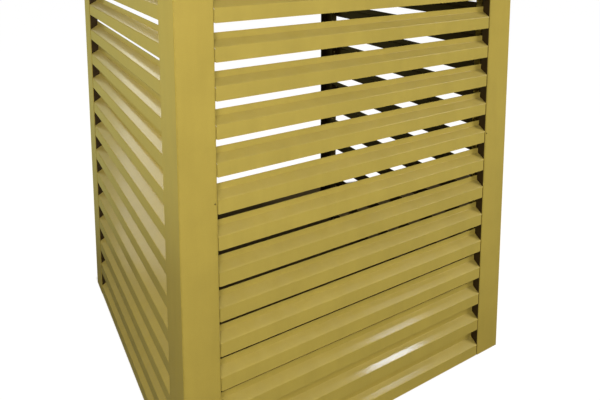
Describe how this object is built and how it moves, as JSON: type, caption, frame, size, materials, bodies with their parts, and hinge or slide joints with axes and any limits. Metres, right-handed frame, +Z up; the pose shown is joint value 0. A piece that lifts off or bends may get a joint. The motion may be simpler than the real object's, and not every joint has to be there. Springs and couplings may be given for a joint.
{
  "type": "air conditioner screen",
  "caption": "Free-standing louvred sheet-metal screen that hides and ventilates an outdoor air conditioner: folded corner posts, Z-folded slats, flat lid, open back.",
  "frame": {"origin": "on the ground plane under the centre of the bounding box", "axes": "+X to the right seen from the front, +Y to the open back, +Z up"},
  "size_m": [0.964, 0.922, 1.33],
  "materials": {
    "post_coat": "satin gold powder coat on folded sheet",
    "slat_coat": "satin gold powder coat on folded sheet",
    "lid_coat": "satin gold powder coat on folded sheet"
  },
  "bodies": {
    "root": {"front_post_left": "post_coat", "front_post_right": "post_coat", "rear_post_left": "post_coat", "rear_post_right": "post_coat", "front_slat_01": "slat_coat", "front_slat_02": "slat_coat", "front_slat_03": "slat_coat", "front_slat_04": "slat_coat", "front_slat_05": "slat_coat", "front_slat_06": "slat_coat", "front_slat_07": "slat_coat", "front_slat_08": "slat_coat", "front_slat_09": "slat_coat", "front_slat_10": "slat_coat", "front_slat_11": "slat_coat", "front_slat_12": "slat_coat", "front_slat_13": "slat_coat", "front_slat_14": "slat_coat", "front_slat_15": "slat_coat", "front_slat_16": "slat_coat", "left_slat_01": "slat_coat", "left_slat_02": "slat_coat", "left_slat_03": "slat_coat", "left_slat_04": "slat_coat", "left_slat_05": "slat_coat", "left_slat_06": "slat_coat", "left_slat_07": "slat_coat", "left_slat_08": "slat_coat", "left_slat_09": "slat_coat", "left_slat_10": "slat_coat", "left_slat_11": "slat_coat", "left_slat_12": "slat_coat", "left_slat_13": "slat_coat", "left_slat_14": "slat_coat", "left_slat_15": "slat_coat", "left_slat_16": "slat_coat", "right_slat_01": "slat_coat", "right_slat_02": "slat_coat", "right_slat_03": "slat_coat", "right_slat_04": "slat_coat", "right_slat_05": "slat_coat", "right_slat_06": "slat_coat", "right_slat_07": "slat_coat", "right_slat_08": "slat_coat", "right_slat_09": "slat_coat", "right_slat_10": "slat_coat", "right_slat_11": "slat_coat", "right_slat_12": "slat_coat", "right_slat_13": "slat_coat", "right_slat_14": "slat_coat", "right_slat_15": "slat_coat", "right_slat_16": "slat_coat", "lid": "lid_coat"}
  },
  "joints": []
}
